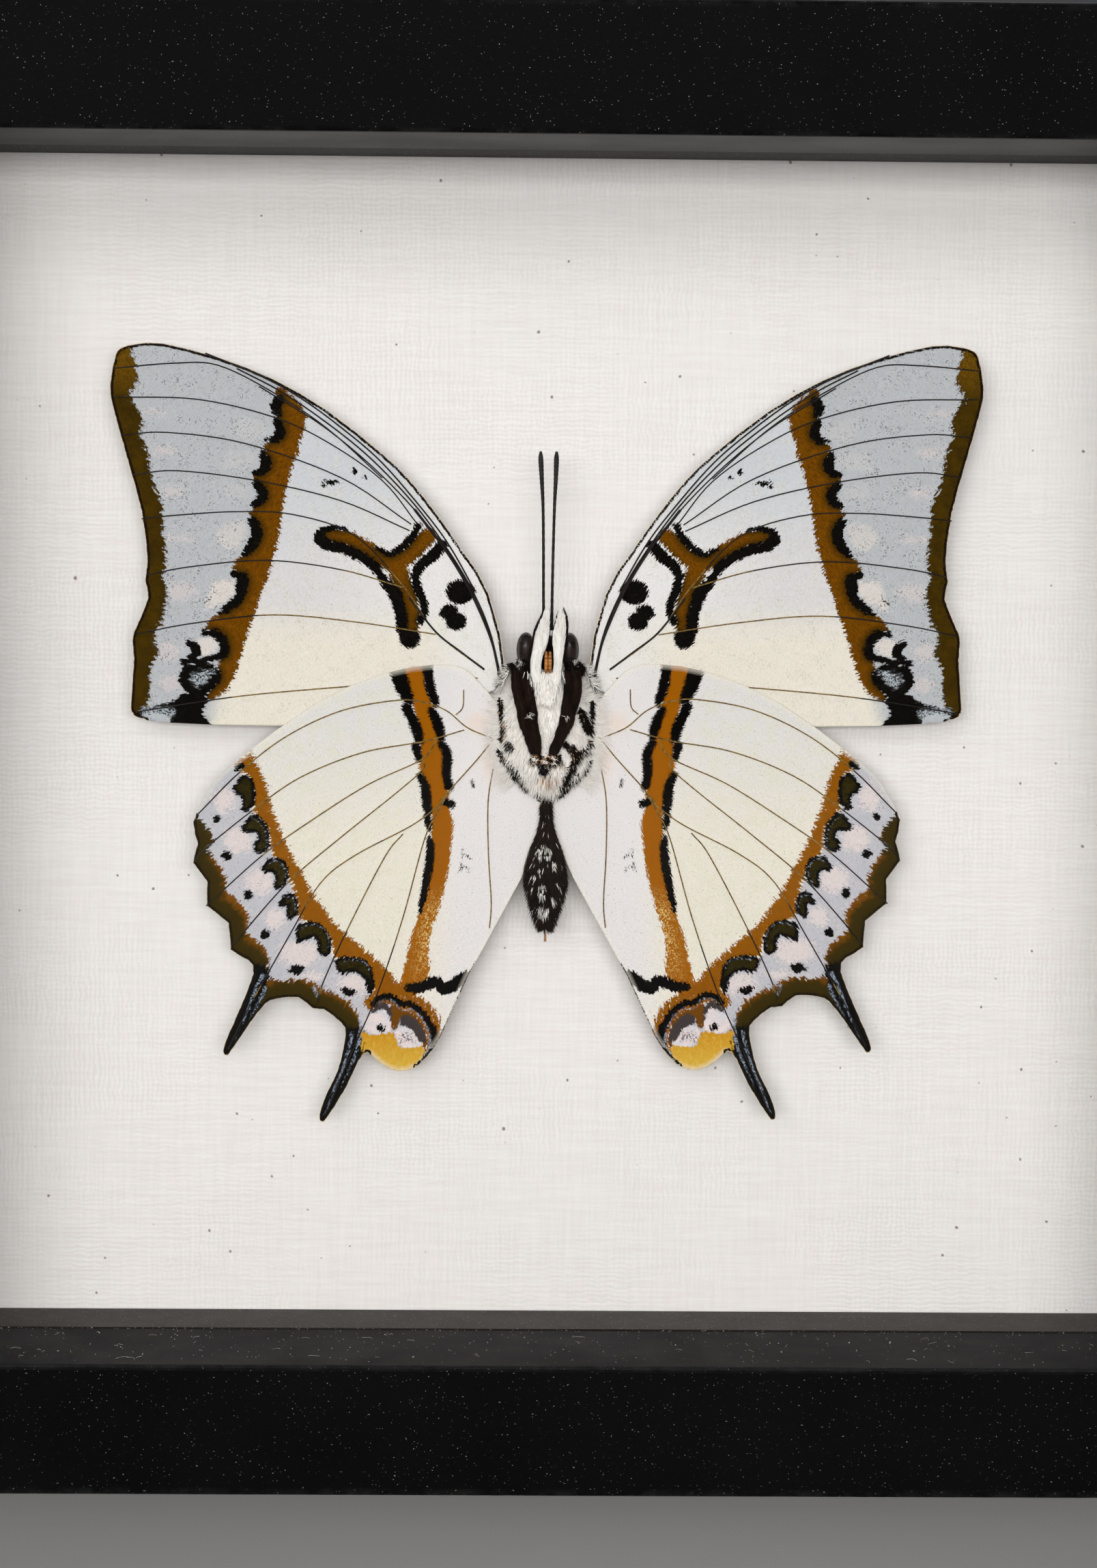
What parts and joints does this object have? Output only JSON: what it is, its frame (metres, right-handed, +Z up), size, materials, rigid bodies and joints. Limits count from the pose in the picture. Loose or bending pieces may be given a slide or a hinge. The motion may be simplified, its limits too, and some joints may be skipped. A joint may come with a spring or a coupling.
{
  "type": "framed butterfly specimen",
  "caption": "Deep black box frame with a spread butterfly mounted underside out on a pale linen card behind glass, standing on its bottom rail.",
  "frame": {"origin": "centre of the frame's footprint, on the surface that it stands on", "axes": "+Z up, the front with the glass faces -Y, +X to the viewer's right"},
  "size_m": [0.18, 0.045, 0.18],
  "materials": {
    "black_paint": "wood moulding in satin black paint, dusty on its lower ledge",
    "clear_glass": "clear flat picture glass",
    "dark_spacer": "dark brown-black painted strip, satin",
    "linen_card": "off-white card embossed with a linen weave",
    "hardboard": "brown pressed hardboard",
    "zinc_steel": "zinc-plated steel strip",
    "cream_foam": "cream foam pad",
    "wing_scales": "matt wing scales, white, grey-blue, cream, ochre and black",
    "white_fur": "fine white hair with dark hairs in it",
    "dark_body": "dark brown-black chitin with short hair",
    "eye_brown": "dark brown compound eye, slightly glossy",
    "tongue_brown": "orange-brown coiled tongue"
  },
  "bodies": {
    "root": {"frame_rail_bottom": "black_paint", "frame_rail_top": "black_paint", "frame_rail_left": "black_paint", "frame_rail_right": "black_paint", "glass_pane": "clear_glass", "spacer_bottom": "dark_spacer", "spacer_top": "dark_spacer", "spacer_left": "dark_spacer", "spacer_right": "dark_spacer", "backing_card": "linen_card", "back_panel": "hardboard", "tab_bottom_1": "zinc_steel", "tab_bottom_2": "zinc_steel", "tab_left_1": "zinc_steel", "tab_left_2": "zinc_steel", "tab_top_1": "zinc_steel", "tab_top_2": "zinc_steel", "tab_right_1": "zinc_steel", "tab_right_2": "zinc_steel", "hanger_strip": "zinc_steel", "hanger_nail_left": "zinc_steel", "hanger_nail_right": "zinc_steel", "mounting_pad": "cream_foam", "forewing_left": "wing_scales", "forewing_right": "wing_scales", "hindwing_left": "wing_scales", "hindwing_right": "wing_scales", "thorax": "white_fur", "head": "white_fur", "palp_left": "white_fur", "palp_right": "white_fur", "eye_left": "eye_brown", "eye_right": "eye_brown", "proboscis": "tongue_brown", "antenna_left": "dark_body", "antenna_right": "dark_body", "leg_left": "dark_body", "leg_right": "dark_body", "abdomen": "dark_body"}
  },
  "joints": []
}
